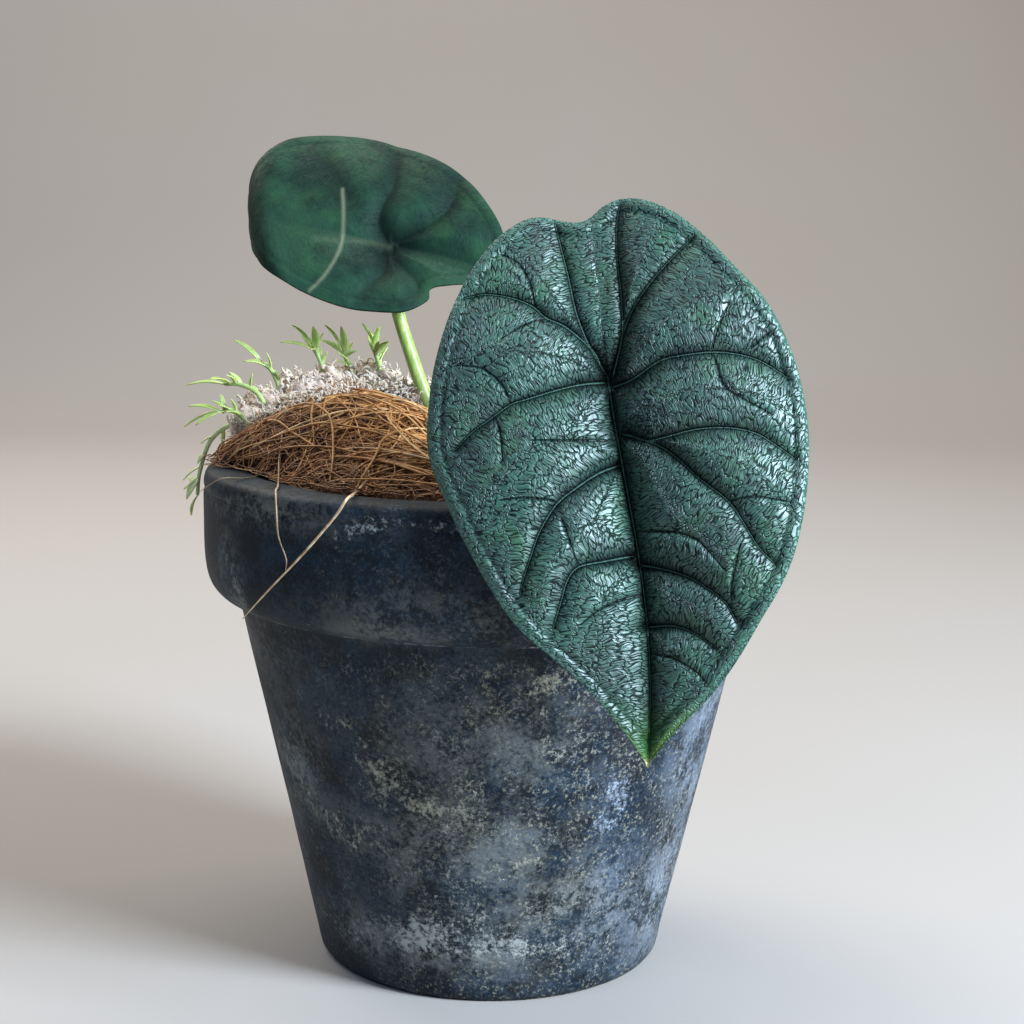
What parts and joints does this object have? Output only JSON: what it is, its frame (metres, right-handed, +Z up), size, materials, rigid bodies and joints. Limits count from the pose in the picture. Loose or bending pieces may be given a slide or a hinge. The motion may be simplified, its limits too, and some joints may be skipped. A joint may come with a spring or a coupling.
{
  "type": "potted alocasia",
  "caption": "Young jewel alocasia with thick quilted leaves, growing from coir in a round tapered clay pot with a rolled rim, with dried sphagnum moss and green sprigs on top.",
  "frame": {"origin": "under the middle of the object's box, on the surface that the pot stands on", "axes": "+Z up, from the pot's foot to the top leaf; -Y is the side that the front of the large leaf faces; +X is to the right when the large leaf faces the viewer"},
  "size_m": [0.127, 0.1354, 0.1703],
  "materials": {
    "slate_clay": "unglazed slate-coloured clay with lime bloom, matte",
    "coir": "loose coconut fibre, golden brown, rough",
    "rhizome_bark": "brown ringed stem, matte",
    "petiole_green": "light green stalk, satin",
    "leaf_large_green": "deep blue-green quilted blade, satin",
    "leaf_small_green": "deep blue-green quilted blade, satin",
    "dried_sphagnum": "dried moss, cream, rough",
    "sprig_green": "apple-green leaves, satin",
    "coir_fibre": "straw-coloured fibre, satin"
  },
  "bodies": {
    "root": {"pot": "slate_clay", "coir_substrate": "coir", "rhizome": "rhizome_bark", "petiole_large": "petiole_green", "petiole_small": "petiole_green", "leaf_large": "leaf_large_green", "leaf_small": "leaf_small_green", "sphagnum_moss": "dried_sphagnum", "moss_sprig_1": "sprig_green", "moss_sprig_2": "sprig_green", "moss_sprig_3": "sprig_green", "moss_sprig_4": "sprig_green", "moss_sprig_5": "sprig_green", "moss_sprig_6": "sprig_green", "moss_sprig_7": "sprig_green", "stray_fibre_long": "coir_fibre", "stray_fibre_thin": "coir_fibre", "stray_fibre_left": "coir_fibre"}
  },
  "joints": []
}
